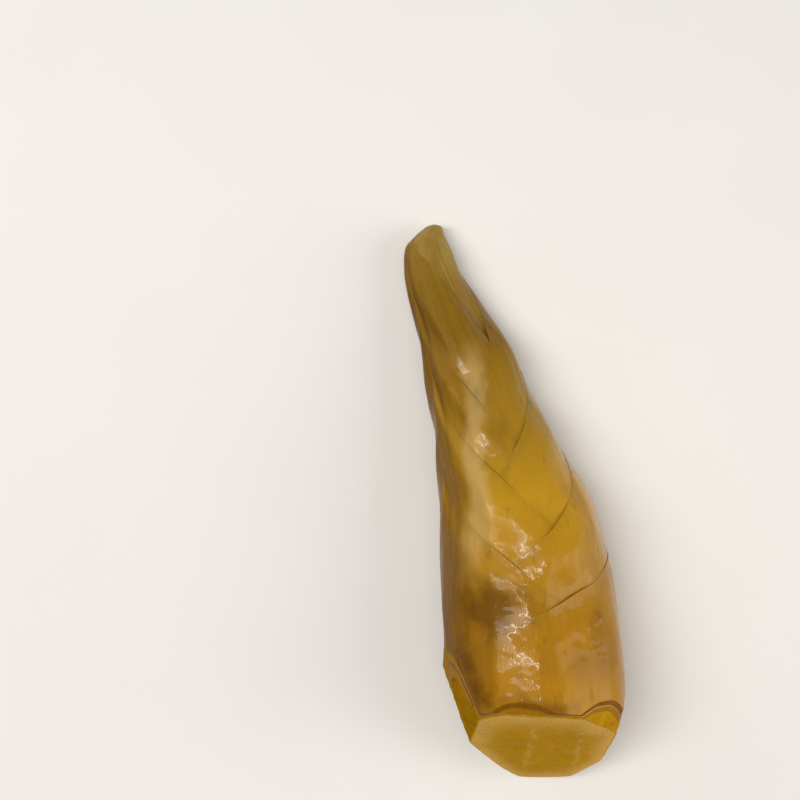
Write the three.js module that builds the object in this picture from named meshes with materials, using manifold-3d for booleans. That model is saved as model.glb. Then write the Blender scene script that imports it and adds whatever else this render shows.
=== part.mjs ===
// A boiled green bamboo shoot in its husk, lying on its side: a horn-shaped young culm wrapped in eight
// overlapping culm sheaths, set alternately on two sides, round a rolled bud. The root end is a slanted
// knife cut with pared flats round it. Millimetres; +Y runs from the cut to the tip and +Z is up.
// Each sheath is a closed ring where it grows from the shoot and narrows to a small blade at its top.

import * as THREE from "three";
import { mergeVertices } from "three/addons/utils/BufferGeometryUtils.js";
import Module from "manifold-3d";

// ---- Driving dimensions -------------------------------------------------------------------------

// The horn's outline: distance along the shoot, sideways place of its middle, half width there.
const OUTLINE = [
  [-6, 6.5, 31.0],
  [20, 2.8, 32.2],
  [42, 0.4, 32.0],
  [62, -1.5, 30.6],
  [80, -2.3, 29.7],
  [98, -5.6, 27.2],
  [111, -9.3, 24.2],
  [120, -12.2, 22.2],
  [132, -16.8, 19.5],
  [149, -21.7, 17.2],
  [161, -27.1, 14.1],
  [170, -30.8, 12.4],
  [179, -34.1, 10.6],
  [187.5, -36.3, 8.8],
  [192, -35.7, 6.0],
  [194.7, -34.6, 4.1],
  [196.5, -33.6, 2.7],
];
const TIP = 196.5; // where the bud ends
const BODY_FLATNESS = 0.9; // height over width, from the cut to the upper half
const TIP_FLATNESS = 0.62; // height over width at the tip
const FLATTENS_FROM = 118; // the shoot begins to flatten here
const TIP_LIFT = 6; // the tip's underside above the surface that the shoot lies on
const LIFTS_FROM = 98; // the underside is level up to here

const HUSK = 0.9; // a sheath's thickness
const GAP = 0.3; // clear space between neighbours
const LAYER = HUSK + GAP; // how far each sheath lies inside the last
const HOLD = 3; // the next sheath keeps its depth this far past an edge
const SETTLE = 16; // and from there swells out to the full width over this length

const FIRST_NODE = 16; // where the outermost sheath grows from the shoot
const NODE_STEP = 5.5; // from there to the next node
const NODE_GROWTH = 0.55; // how the steps lengthen towards the tip

// Each sheath, from the outside in: the side of its midrib in degrees (0 is +X, 90 is up), where its two
// edges meet on the far side, the height of its shoulders, how its edge curves from there to the notch
// (over 1 is blunt, under 1 is pointed), and the height of the little leaf blade on top.
const SHEATHS = [
  { midrib: -18, notch: 42, shoulder: 82, curve: 1.1, blade: 6 },
  { midrib: 160, notch: 32, shoulder: 103, curve: 0.9, blade: 6 },
  { midrib: -22, notch: 54, shoulder: 122, curve: 1.1, blade: 6.5 },
  { midrib: 150, notch: 46, shoulder: 137, curve: 0.85, blade: 6.5 },
  { midrib: -14, notch: 81, shoulder: 148, curve: 1.1, blade: 6 },
  { midrib: 154, notch: 71, shoulder: 166, curve: 0.9, blade: 6 },
  { midrib: -20, notch: 109, shoulder: 179, curve: 1.1, blade: 5 },
  { midrib: 158, notch: 106, shoulder: 190, curve: 2.2, blade: 0 },
];
const BLADE_HALF_WIDTH = 2.6;

// The root end was cut off in three strokes. Each is a plane through one point of the end face: it
// looks up by its tilt and to the +X side by its turn, in degrees. They meet in two low ridges.
const STROKES = [
  { at: [-0.7, 13, 35.5], tilt: 34, turn: -10 },
  { at: [5.2, 8.5, 28.5], tilt: 34, turn: 2 },
  { at: [16.4, 14, 36.1], tilt: 33, turn: 14 },
];
// Flats were pared round it: the way each faces in degrees round the shoot, where it begins, and its
// slope to the axis.
const FLATS = [
  { faces: 160, begins: 49, slope: 16 },
  { faces: 100, begins: 31.5, slope: 26 },
  { faces: 50, begins: 30, slope: 26 },
  { faces: -3, begins: 40, slope: 10 },
  { faces: -48, begins: 34, slope: 11 },
  { faces: -92, begins: 36, slope: 16 },
  { faces: -138, begins: 36, slope: 22 },
  { faces: 205, begins: 43, slope: 22 },
];
const REST_DEPTH = 0.3; // how far the underside is pressed flat

// ---- How finely the shapes are divided ----------------------------------------------------------

const SIDES = 28; // faces round the shoot, one of them level underneath
const EDGE_SIDES = 44; // faces along a sheath's edge
const EDGE_CROWDING = 1.6; // over 1, those faces crowd in round the blade
const UPPER_ROWS = [99, 107, 115, 123, 131, 139, 147, 155, 163, 170, 177, 183, 188.5, 193];
const BLOCK = 500; // edge of the blocks that stand for what the knife takes away
const REACH = 4; // how far a cutting solid stands clear of what it cuts

// ---- The horn's own formulas --------------------------------------------------------------------

const radians = THREE.MathUtils.degToRad;
const smooth = THREE.MathUtils.smoothstep;

// A column of OUTLINE as a smooth curve through its rows.
function alongOutline(y, column) {
  const last = OUTLINE.length - 1;
  let i = 0;
  while (i < last - 1 && y > OUTLINE[i + 1][0]) i++;
  const slopeAt = (n) => {
    const a = OUTLINE[Math.max(n - 1, 0)];
    const b = OUTLINE[Math.min(n + 1, last)];
    return (b[column] - a[column]) / (b[0] - a[0]);
  };
  const [y0, y1] = [OUTLINE[i][0], OUTLINE[i + 1][0]];
  const step = y1 - y0;
  const t = THREE.MathUtils.clamp((y - y0) / step, 0, 1);
  const [t2, t3] = [t * t, t * t * t];
  return (
    OUTLINE[i][column] * (2 * t3 - 3 * t2 + 1) +
    slopeAt(i) * step * (t3 - 2 * t2 + t) +
    OUTLINE[i + 1][column] * (3 * t2 - 2 * t3) +
    slopeAt(i + 1) * step * (t3 - t2)
  );
}

const middleX = (y) => alongOutline(y, 1);
const halfWidth = (y) => alongOutline(y, 2);

function halfHeight(y) {
  const share = smooth(y, FLATTENS_FROM, TIP);
  return halfWidth(y) * THREE.MathUtils.lerp(BODY_FLATNESS, TIP_FLATNESS, share);
}

// The level face underneath is nearer the middle than its two corners are.
const FACE_SHARE = Math.cos(Math.PI / SIDES);

function middleZ(y) {
  const lift = Math.max(0, (y - LIFTS_FROM) / (TIP - LIFTS_FROM));
  return halfHeight(y) * FACE_SHARE - REST_DEPTH + TIP_LIFT * Math.pow(lift, 1.3);
}

// The n-th node, counted from 1 at the outermost sheath.
const node = (n) => FIRST_NODE + NODE_STEP * (n - 1) + NODE_GROWTH * (n - 1) * (n - 2);

// How far round from a sheath's midrib, from 0 to 180 degrees.
function awayFrom(midrib, degrees) {
  const turn = THREE.MathUtils.euclideanModulo(degrees - midrib, 360);
  return Math.min(turn, 360 - turn);
}

// Where a sheath ends, at an angle round the shoot: its edge falls from the shoulders to the notch.
function edgeOf(sheath, degrees) {
  const fall = Math.pow(awayFrom(sheath.midrib, degrees) / 180, sheath.curve);
  return THREE.MathUtils.lerp(sheath.shoulder, sheath.notch, fall);
}

// The same edge with the blade standing on it.
function bladedEdge(sheath, degrees) {
  const aside = radians(awayFrom(sheath.midrib, degrees)) * halfWidth(sheath.shoulder);
  return edgeOf(sheath, degrees) + sheath.blade * Math.max(0, 1 - aside / BLADE_HALF_WIDTH);
}

// How much a sheath takes up at a place: its whole thickness up to its edge, and less and less past it.
function presence(sheath, y, degrees) {
  const edge = edgeOf(sheath, degrees);
  return 1 - smooth(y, edge + HOLD, edge + HOLD + SETTLE);
}

// How many sheaths lie over the n-th layer at a place. Where none does, it rides up past its own edge
// and lies on the next one.
function layersOver(n, y, degrees) {
  const outer = SHEATHS.slice(0, n - 1).map((sheath) => presence(sheath, y, degrees));
  const own = n > SHEATHS.length ? 1 : presence(SHEATHS[n - 1], y, degrees);
  const bare = outer.reduce((share, present) => share * (1 - present), 1);
  return outer.reduce((count, present) => count + present, 0) - bare * (1 - own);
}

// A point on the n-th layer's outer face, taken in by a further depth.
function layerPoint(n, depth, y, degrees) {
  const inset = layersOver(n, y, degrees) * LAYER + depth;
  const angle = radians(degrees);
  return new THREE.Vector3(
    middleX(y) + Math.max(halfWidth(y) - inset, 0.3) * Math.cos(angle),
    y,
    middleZ(y) + Math.max(halfHeight(y) - inset, 0.3) * Math.sin(angle),
  );
}

// ---- Rows and columns that every layer shares, so that neighbours keep their gap -----------------

const NODES = Array.from({ length: SHEATHS.length + 1 }, (_, i) => node(i + 1));
const ROWS = [-6, 4, ...NODES, ...UPPER_ROWS, TIP];
const COLUMNS = Array.from({ length: SIDES }, (_, j) => -90 + ((j + 0.5) * 360) / SIDES);

// The n-th layer's rings, on the shared rows from one height to the first row past another.
function rings(n, depth, low, high) {
  const last = ROWS.find((y) => y >= high) ?? TIP;
  const heights = ROWS.filter((y) => y >= low && y <= last);
  return heights.map((y) => COLUMNS.map((degrees) => layerPoint(n, depth, y, degrees)));
}

// ---- Closed solids from rings -------------------------------------------------------------------

const wasm = await Module();
wasm.setup();

// Two triangles a side between two rings, facing out or in but split along the same diagonal.
function band(faces, below, above, inwards = false) {
  below.forEach((corner, j) => {
    const next = below[(j + 1) % below.length];
    const [up, upNext] = [above[j], above[(j + 1) % above.length]];
    faces.push(...(inwards ? [corner, next, up] : [corner, up, next]));
    faces.push(...(inwards ? [next, upNext, up] : [next, up, upNext]));
  });
}

// A lid over a ring, facing up or down the shoot.
function lid(faces, points, upwards) {
  const middle = points.reduce((sum, p) => sum.add(p), new THREE.Vector3());
  middle.divideScalar(points.length);
  points.forEach((p, j) => {
    const next = points[(j + 1) % points.length];
    faces.push(...(upwards ? [middle, next, p] : [middle, p, next]));
  });
}

function solidFrom(geometry) {
  const bare = geometry.index ? geometry.toNonIndexed() : geometry.clone();
  bare.deleteAttribute("normal");
  bare.deleteAttribute("uv");
  const merged = mergeVertices(bare, 1e-4);
  return new wasm.Manifold(
    new wasm.Mesh({
      numProp: 3,
      vertProperties: merged.attributes.position.array,
      triVerts: new Uint32Array(merged.index.array),
    }),
  );
}

const solidFromFaces = (faces) => solidFrom(new THREE.BufferGeometry().setFromPoints(faces));

// A stack of rings closed at both ends.
function stack(levels) {
  const faces = [];
  levels.slice(1).forEach((level, i) => band(faces, levels[i], level));
  lid(faces, levels[0], false);
  lid(faces, levels[levels.length - 1], true);
  return solidFromFaces(faces);
}

// A pipe: one stack of rings outside, another inside, joined by flat rims.
function pipe(outside, inside) {
  const faces = [];
  const top = outside.length - 1;
  for (let i = 0; i < top; i++) {
    band(faces, outside[i], outside[i + 1]);
    band(faces, inside[i], inside[i + 1], true);
  }
  band(faces, inside[0], outside[0]);
  band(faces, outside[top], inside[top]);
  return solidFromFaces(faces);
}

// ---- What the knife and the table take away ------------------------------------------------------

// A block whose one face lies on the plane through a point, standing on the side that the normal names.
function block(point, normal) {
  const box = new THREE.BoxGeometry(BLOCK, BLOCK, BLOCK);
  box.translate(0, 0, BLOCK / 2);
  const turn = new THREE.Quaternion().setFromUnitVectors(new THREE.Vector3(0, 0, 1), normal);
  box.applyQuaternion(turn);
  box.translate(point.x, point.y, point.z);
  return solidFrom(box);
}

function flatBlock({ faces, begins, slope }) {
  const angle = radians(faces);
  const outwards = new THREE.Vector3(Math.cos(angle), 0, Math.sin(angle));
  const start = layerPoint(1, 0, begins, faces);
  const normal = outwards.multiplyScalar(Math.cos(radians(slope)));
  normal.y = -Math.sin(radians(slope));
  return block(start, normal.normalize());
}

function strokeBlock({ at, tilt, turn }) {
  const [up, aside] = [radians(tilt), radians(turn)];
  const level = Math.cos(up);
  const normal = new THREE.Vector3(Math.sin(aside) * level, -Math.cos(aside) * level, Math.sin(up));
  return block(new THREE.Vector3(...at), normal);
}

const tableBlock = () => block(new THREE.Vector3(), new THREE.Vector3(0, 0, -1));

const knifeBlocks = [...FLATS.map(flatBlock), ...STROKES.map(strokeBlock)];
const trimmings = [...knifeBlocks, tableBlock()].reduce((all, one) => all.add(one));

// ---- The pieces ---------------------------------------------------------------------------------

// The culm: solid flesh that steps in below each node to make room for the sheath that grows there.
function shootBody() {
  const steps = NODES.map((at, i) => {
    const plug = stack(rings(i + 1, 0, ROWS[0], at));
    return plug.subtract(block(new THREE.Vector3(0, at - GAP, 0), new THREE.Vector3(0, 1, 0)));
  });
  return steps.reduce((all, one) => all.add(one));
}

// What lies past a sheath's edge, as a ring-shaped solid round the shoot.
function pastTheEdge(n, sheath, top) {
  const angles = Array.from({ length: EDGE_SIDES }, (_, j) => {
    const side = (2 * j) / EDGE_SIDES - 1; // from the notch, over the blade and back to the notch
    return sheath.midrib + 180 * Math.sign(side) * Math.pow(Math.abs(side), EDGE_CROWDING);
  });
  const wall = (depth) => [
    angles.map((a) => layerPoint(n, depth, bladedEdge(sheath, a), a)),
    angles.map((a) => layerPoint(n, depth, top, a)),
  ];
  return pipe(wall(-REACH), wall(HUSK + REACH));
}

function sheathSolid(n, sheath) {
  const top = sheath.shoulder + sheath.blade + 1;
  const husk = pipe(rings(n, 0, node(n), top), rings(n, HUSK, node(n), top));
  return husk.subtract(pastTheEdge(n, sheath, TIP + REACH));
}

// The rolled sheaths at the growing point, which show as the tip.
const tipBud = () => stack(rings(SHEATHS.length + 1, 0, NODES[SHEATHS.length], TIP));

// What the knife leaves of a piece: slivers that it has cut free are gone with the parings.
function trimmed(solid) {
  const pieces = solid.subtract(trimmings).decompose();
  return pieces.reduce((largest, one) => (one.volume() > largest.volume() ? one : largest));
}

// ---- Colours and the finished group --------------------------------------------------------------

const flesh = new THREE.MeshStandardMaterial({ color: "#c39a3c", roughness: 0.45, metalness: 0 });
const lowerHusk = new THREE.MeshStandardMaterial({ color: "#b27c22", roughness: 0.35, metalness: 0 });
const upperHusk = new THREE.MeshStandardMaterial({ color: "#8a6420", roughness: 0.35, metalness: 0 });

function meshOf(name, solid, material) {
  const { numProp, numVert, vertProperties, triVerts } = solid.getMesh();
  const places = new Float32Array(numVert * 3);
  for (let i = 0; i < numVert; i++) {
    places.set(vertProperties.subarray(i * numProp, i * numProp + 3), i * 3);
  }
  const geometry = new THREE.BufferGeometry();
  geometry.setAttribute("position", new THREE.BufferAttribute(places, 3));
  geometry.setIndex(new THREE.BufferAttribute(triVerts, 1));
  geometry.computeVertexNormals();
  const mesh = new THREE.Mesh(geometry, material);
  mesh.name = name;
  return mesh;
}

const shoot = new THREE.Group();
shoot.add(meshOf("shoot_body", trimmed(shootBody()), flesh));
SHEATHS.forEach((sheath, i) => {
  const solid = trimmed(sheathSolid(i + 1, sheath));
  shoot.add(meshOf(`sheath_${i + 1}`, solid, i < 5 ? lowerHusk : upperHusk));
});
shoot.add(meshOf("tip_bud", trimmed(tipBud()), upperHusk));

// The origin is on the surface below the middle of the whole shoot.
const bounds = new THREE.Box3().setFromObject(shoot);
const middle = bounds.getCenter(new THREE.Vector3());
shoot.position.set(-middle.x, -middle.y, -bounds.min.z);

export default shoot;
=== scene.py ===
# %% [markdown]
# # A boiled bamboo shoot in its husk
# The shoot lies on its side on a pale table, and the camera looks straight down on it. It is a
# young culm, horn-shaped and bent at the tip, wrapped in eight overlapping sheaths and a rolled
# bud. A knife has cut it from the ground and pared flats round the root end. This script loads the
# plain CAD solids as a frame, then gives each of them a finer mesh and a wet, boiled finish.

# %% Load the CAD frame
import math

import bmesh
import bpy
import numpy as np
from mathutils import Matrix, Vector


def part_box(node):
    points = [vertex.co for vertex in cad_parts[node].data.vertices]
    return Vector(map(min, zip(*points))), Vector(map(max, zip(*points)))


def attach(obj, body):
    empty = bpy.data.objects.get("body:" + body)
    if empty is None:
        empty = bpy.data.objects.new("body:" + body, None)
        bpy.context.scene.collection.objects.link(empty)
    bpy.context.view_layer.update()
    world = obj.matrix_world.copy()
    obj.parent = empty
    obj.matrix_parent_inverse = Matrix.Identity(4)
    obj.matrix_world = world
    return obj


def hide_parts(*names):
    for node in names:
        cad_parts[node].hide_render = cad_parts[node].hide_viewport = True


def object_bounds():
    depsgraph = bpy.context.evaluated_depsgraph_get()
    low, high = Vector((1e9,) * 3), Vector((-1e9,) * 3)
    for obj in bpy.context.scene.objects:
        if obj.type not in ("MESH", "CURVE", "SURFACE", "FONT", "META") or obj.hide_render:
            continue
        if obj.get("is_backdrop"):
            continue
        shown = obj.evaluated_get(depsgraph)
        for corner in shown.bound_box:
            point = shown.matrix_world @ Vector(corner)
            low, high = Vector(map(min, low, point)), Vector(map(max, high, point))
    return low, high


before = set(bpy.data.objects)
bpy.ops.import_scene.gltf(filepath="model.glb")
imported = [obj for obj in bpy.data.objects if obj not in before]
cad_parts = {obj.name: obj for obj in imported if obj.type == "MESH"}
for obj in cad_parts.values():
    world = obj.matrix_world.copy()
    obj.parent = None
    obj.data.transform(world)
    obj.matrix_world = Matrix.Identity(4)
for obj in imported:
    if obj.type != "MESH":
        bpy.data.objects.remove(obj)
cad_box = [[float(v) for v in corner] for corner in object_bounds()]
print("CAD box in metres:", cad_box)

# %% [markdown]
# ## Units and the shoot's own measures
# The shoot's formulas are easiest to read in millimetres along a line from the cut (about 0) to
# the tip (196.5). Blender works in metres, and the CAD part was moved so that its origin lies on
# the table under the middle of its box. SHIFT is that move: sideways it is the place of the box's
# middle, and lengthwise it is read from where the tip is now.

# %% From the shoot's millimetres to the frame's metres
MM = 0.001
TIP = 196.5  # where the bud ends
BOX_MIDDLE_X = -6.269
tip_in_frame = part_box("tip_bud")[1][1] / MM
SHIFT = np.array([-BOX_MIDDLE_X, tip_in_frame - TIP, 0.0])
print("the CAD part was moved by", SHIFT.round(2), "mm")

# %% [markdown]
# ## The camera
# A camera straight above has no rotation at all: it looks down its own -Z. The lens and the height
# are chosen together, so that the picture takes in 281 mm at the height where the shoot is widest.
# The shoot lies to the right of the picture's middle, so the camera hangs over a point beside it.

# %% Camera
FRAME_WIDTH = 280.8  # mm across the picture, at the shoot's widest
WIDEST_Z = 28.0
DISTANCE = 600.0
PICTURE_MIDDLE = (-45.98, 132.7)  # the shoot's own millimetres
SENSOR = 36  # mm, a full-frame camera

eye = bpy.data.objects.new("camera", bpy.data.cameras.new("camera"))
bpy.context.scene.collection.objects.link(eye)
over_x, over_y = PICTURE_MIDDLE
eye.location = Vector((over_x + SHIFT[0], over_y + SHIFT[1], WIDEST_Z + DISTANCE)) * MM
eye.data.sensor_width = SENSOR
eye.data.lens = SENSOR * DISTANCE / FRAME_WIDTH
bpy.context.scene.camera = eye
print("camera at", [round(c, 3) for c in eye.location], "lens", round(eye.data.lens, 1))

# %% [markdown]
# ## The horn
# A shoot is a horn: at each height it has a middle, a half width and a half height. A short table
# and a smooth curve through its rows give the first two. The cross-section is a little flattened,
# and more so towards the tip, where the sheaths are thin and the growing point is soft. It could
# also be a curve with a bevel, but formulas let every sheath and cut follow the same horn.

# %% The horn's outline
OUTLINE = np.array(  # height along the shoot, sideways place of the middle, half width
    [
        [-6, 6.5, 31.0],
        [20, 2.8, 32.2],
        [42, 0.4, 32.0],
        [62, -1.5, 30.6],
        [80, -2.3, 29.7],
        [98, -5.6, 27.2],
        [111, -9.3, 24.2],
        [120, -12.2, 22.2],
        [132, -16.8, 19.5],
        [149, -21.7, 17.2],
        [161, -27.1, 14.1],
        [170, -30.8, 12.4],
        [179, -34.1, 10.6],
        [187.5, -36.3, 8.8],
        [192, -35.7, 6.0],
        [194.7, -34.6, 4.1],
        [196.5, -33.6, 2.7],
    ]
)


def smooth(x, low, high):
    t = np.clip((x - low) / (high - low), 0, 1)
    return t * t * (3 - 2 * t)


def along_outline(y, column):
    heights, values = OUTLINE[:, 0], OUTLINE[:, column]
    slopes = np.empty(len(heights))
    slopes[1:-1] = (values[2:] - values[:-2]) / (heights[2:] - heights[:-2])
    slopes[0] = (values[1] - values[0]) / (heights[1] - heights[0])
    slopes[-1] = (values[-1] - values[-2]) / (heights[-1] - heights[-2])
    i = np.clip(np.searchsorted(heights, y) - 1, 0, len(heights) - 2)
    step = heights[i + 1] - heights[i]
    t = np.clip((y - heights[i]) / step, 0, 1)
    return (
        values[i] * (2 * t**3 - 3 * t**2 + 1)
        + slopes[i] * step * (t**3 - 2 * t**2 + t)
        + values[i + 1] * (3 * t**2 - 2 * t**3)
        + slopes[i + 1] * step * (t**3 - t**2)
    )


def middle_x(y):
    return along_outline(y, 1)


def half_width(y):
    return along_outline(y, 2)


for y in (20, 100, 180):
    print(f"at {y} mm: middle {middle_x(y):.1f} mm aside, {2 * half_width(y):.1f} mm wide")

# %% [markdown]
# ## How the horn lies
# Boiled shoots are soft, so this one lies a little flattened, with its underside pressed level.
# From the upper half on, the tip curves up off the table. The CAD solid has 28 flat sides, one of
# them underneath, and the finer meshes rest at the same height.

# %% The horn's height and how it lies
BODY_FLATNESS = 0.9  # height over width, from the cut to the upper half
TIP_FLATTER = 0.28  # how much less that is at the tip
FLATTENS_FROM = 118
SIDES = 28  # faces round the CAD solid, one of them level underneath
REST_DEPTH = 0.3  # how far the underside is pressed flat
TIP_LIFT = 6  # the tip's underside above the table
LIFTS_FROM = 98  # the underside is level up to here


def half_height(y):
    return half_width(y) * (BODY_FLATNESS - TIP_FLATTER * smooth(y, FLATTENS_FROM, TIP))


def middle_z(y):
    lift = np.maximum(0, (y - LIFTS_FROM) / (TIP - LIFTS_FROM))
    return half_height(y) * math.cos(math.pi / SIDES) - REST_DEPTH + TIP_LIFT * lift**1.3


for y in (20, 100, 180):
    print(f"at {y} mm: {2 * half_width(y):.1f} wide, {2 * half_height(y):.1f} high")

# %% [markdown]
# ## Eight sheaths
# Each culm sheath grows as a closed ring from its node and wraps the shoot. Its top edge is
# highest at the midrib, which ends in a small leaf blade, and falls on both sides to a notch
# opposite. Sheaths alternate from one side of the shoot to the other. Each could be drawn as a
# flat leaf and bent round the shoot, but as a row of values one function can make them all: the
# midrib's side in degrees (0 is +X, 90 is up), the heights of notch and shoulder, how its edge
# curves between them, and the height of its blade.

# %% The sheaths, from the outside in
SHEATHS = [
    dict(midrib=-18, notch=42, shoulder=82, curve=1.1, blade=6.0),
    dict(midrib=160, notch=32, shoulder=103, curve=0.9, blade=6.0),
    dict(midrib=-22, notch=54, shoulder=122, curve=1.1, blade=6.5),
    dict(midrib=150, notch=46, shoulder=137, curve=0.85, blade=6.5),
    dict(midrib=-14, notch=81, shoulder=148, curve=1.1, blade=6.0),
    dict(midrib=154, notch=71, shoulder=166, curve=0.9, blade=6.0),
    dict(midrib=-20, notch=109, shoulder=179, curve=1.1, blade=5.0),
    dict(midrib=158, notch=106, shoulder=190, curve=2.2, blade=0.0),
]
BUD_LAYER = len(SHEATHS) + 1  # the bud counts as one more layer inside them
BLADE_HALF_WIDTH = 2.6
FIRST_NODE = 16  # where the outermost sheath grows from the shoot
NODE_STEP = 5.5  # from there to the next node
NODE_GROWTH = 0.55  # how the steps lengthen towards the tip


def node_height(n):
    return FIRST_NODE + NODE_STEP * (n - 1) + NODE_GROWTH * (n - 1) * (n - 2)


def turn_from(midrib, degrees):
    return (degrees - midrib + 180) % 360 - 180


def edge_of(sheath, degrees):
    fall = (np.abs(turn_from(sheath["midrib"], degrees)) / 180) ** sheath["curve"]
    return sheath["shoulder"] + (sheath["notch"] - sheath["shoulder"]) * fall


def bladed_edge(sheath, degrees):
    reach = half_width(sheath["shoulder"])
    aside = np.radians(np.abs(turn_from(sheath["midrib"], degrees))) * reach
    return edge_of(sheath, degrees) + sheath["blade"] * np.maximum(0, 1 - aside / BLADE_HALF_WIDTH)


for n, sheath in enumerate(SHEATHS, start=1):
    print(f"sheath {n} grows from {node_height(n):.1f} mm and ends at {sheath['shoulder']} mm")

# %% [markdown]
# ## Layer under layer
# How deep a sheath lies depends on how many others are over it at that place. Past its edge a
# sheath counts for less and less, so the next one swells softly out to the full width. All layers
# use this one count, so that neighbours always keep the same distance and never cut each other.

# %% How many sheaths lie over a point
HUSK = 0.9  # a CAD sheath's thickness
LAYER = 1.2  # how far each sheath lies inside the last
HOLD = 3  # the next sheath keeps its depth this far past an edge
SETTLE = 16  # and from there swells out to the full width over this length


def presence(n, y, degrees):
    edge = edge_of(SHEATHS[n - 1], degrees)
    return 1 - smooth(y, edge + HOLD, edge + HOLD + SETTLE)


def layers_over(n, y, degrees):
    count, bare = 0 * y * degrees, 1
    for outer in range(1, n):
        count = count + presence(outer, y, degrees)
        bare = bare * (1 - presence(outer, y, degrees))
    own = presence(n, y, degrees) if n <= len(SHEATHS) else 1
    return count - bare * (1 - own)


for y in (60, 120, 180):
    print(f"at {y} mm, on top, {layers_over(BUD_LAYER, y, 90.0):.2f} sheaths lie over the bud")

# %% [markdown]
# ## Uneven by nature
# Nothing that grew is perfectly round. A few long, low waves with seeded random phases give the
# horn soft swellings, and shallow ribs run along it, where the pressed veins of the sheaths lie
# over one another. A Displace modifier on each piece could do this, but it would push neighbours
# through each other. Here all layers use the same formula. The belly has neither, because the
# shoot's weight pressed it flat on the table.

# %% Swellings that all layers share
SEED = 11
rng = np.random.default_rng(SEED)
SWELLS = [  # each wave's height, its crests round the shoot, its turn along it, and its phase
    (rng.uniform(0.12, 0.3), rng.integers(1, 6), rng.uniform(0.03, 0.13), rng.uniform(0, 6.28))
    for _ in range(9)
]
RIBS = [(0.06, 13, 0.012, 0.4), (0.05, 19, -0.016, 2.1), (0.035, 29, 0.01, 5.0)]  # the same
BELLY_ENDS = (90, 120)  # from here to here the swellings return on the underside
BELLY_SIDES = (0.75, 0.97)  # how squarely the surface faces down where they fade out
SMOOTH_TIP = 30  # they fade out over this length below the tip
LEAST_RADIUS = 0.3  # no layer shrinks to less than this


def swelling(y, degrees):
    angle = np.radians(degrees)
    total = 0
    for height, around, along, phase in SWELLS + RIBS:
        total = total + height * np.sin(around * angle + along * y + phase)
    belly = smooth(-np.sin(angle), *BELLY_SIDES) * (1 - smooth(y, *BELLY_ENDS))
    return total * (1 - belly) * smooth(TIP - y, 0, SMOOTH_TIP)


def to_frame(x, y, z):
    points = np.stack(np.broadcast_arrays(x, y, z), axis=-1) + SHIFT
    points[..., 2] = np.maximum(points[..., 2], 0)
    return points * MM


def at_depth(inset, y, degrees):
    inset = inset - swelling(y, degrees)
    angle = np.radians(degrees)
    x = middle_x(y) + np.maximum(half_width(y) - inset, LEAST_RADIUS) * np.cos(angle)
    z = middle_z(y) + np.maximum(half_height(y) - inset, LEAST_RADIUS) * np.sin(angle)
    return x, y, z


def layer_point(n, depth, y, degrees):
    return at_depth(layers_over(n, y, degrees) * LAYER + depth, y, degrees)


print("the swellings add up to at most", round(sum(s[0] for s in SWELLS), 2), "mm")

# %% [markdown]
# ## What the knife took
# The root end was cut off in three strokes and then pared all round with eight more. Each stroke
# is a plane. A Boolean could cut them, but it would leave ragged triangles, so the grids stop at
# the planes by themselves. Seen along a ray from the shoot's middle, every pared flat lies at some
# distance, and the nearest one is what the knife left. A soft minimum rounds the ridges between
# flats a little, as a blade does.

# %% The pared flats, as a distance from the shoot's middle
FLATS = [  # the way each faces in degrees, the height where it begins, its slope in degrees
    (160, 49, 16),
    (100, 31.5, 26),
    (50, 30, 26),
    (-3, 40, 10),
    (-48, 34, 11),
    (-92, 36, 16),
    (-138, 36, 22),
    (205, 43, 22),
]
RIDGE = 0.4  # how far the ridge between two strokes is rounded


def pared_radius(y, degrees):
    total = 0
    for faces, begins, slope in FLATS:
        f, s = math.radians(faces), math.radians(slope)
        normal = (math.cos(f) * math.cos(s), -math.sin(s), math.sin(f) * math.cos(s))
        inset = layers_over(1, begins, faces) * LAYER
        start = (
            middle_x(begins) + (half_width(begins) - inset) * math.cos(f),
            begins,
            middle_z(begins) + (half_height(begins) - inset) * math.sin(f),
        )
        reach = (
            (start[0] - middle_x(y)) * normal[0]
            + (start[1] - y) * normal[1]
            + (start[2] - middle_z(y)) * normal[2]
        )
        facing = np.maximum(np.cos(np.radians(degrees) - f) * math.cos(s), 0.05)
        total = total + np.exp(-np.minimum(reach / facing, 90) / RIDGE)
    return -RIDGE * np.log(total)


for degrees in (100, 160):
    left = pared_radius(20, degrees)
    print(f"at 20 mm the knife leaves {left:.1f} mm from the middle, at {degrees} degrees")

# %% [markdown]
# ## The end face
# The three strokes that cut the shoot from the ground left a slanted face with two low ridges.
# Seen along the shoot, each stroke lies at some height, and the highest one counts, again a little
# rounded. Where a sheath meets the knife is found by halving: the middle of a stretch is tried,
# and the half that must hold the cut is kept, thirty times over.

# %% The end strokes, as a height along the shoot
STROKES = [  # a point on each, how far it looks up and how far aside, in degrees
    ((-0.7, 13, 35.5), 34, -10),
    ((5.2, 8.5, 28.5), 34, 2),
    ((16.4, 14, 36.1), 33, 14),
]
END_ABOUT = 20  # near the end's height, which keeps the powers below small
STROKES_PART = 0.21  # how fast neighbouring strokes part on each side of their ridge
BELOW_CUT, ABOVE_FLATS = -14.0, 70.0  # the knife's cuts lie between these heights
HALVINGS = 30


def stroke_heights(x, z):
    heights = []
    for at, tilt, turn in STROKES:
        up, aside = math.radians(tilt), math.radians(turn)
        level = math.cos(up)
        normal = (math.sin(aside) * level, -math.cos(aside) * level, math.sin(up))
        heights.append(at[1] - ((x - at[0]) * normal[0] + (z - at[2]) * normal[2]) / normal[1])
    return np.array(heights)


def end_height(x, z):
    above = stroke_heights(x, z) - END_ABOUT
    return END_ABOUT + RIDGE * np.log(np.exp(above / RIDGE).sum(axis=0))


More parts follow.
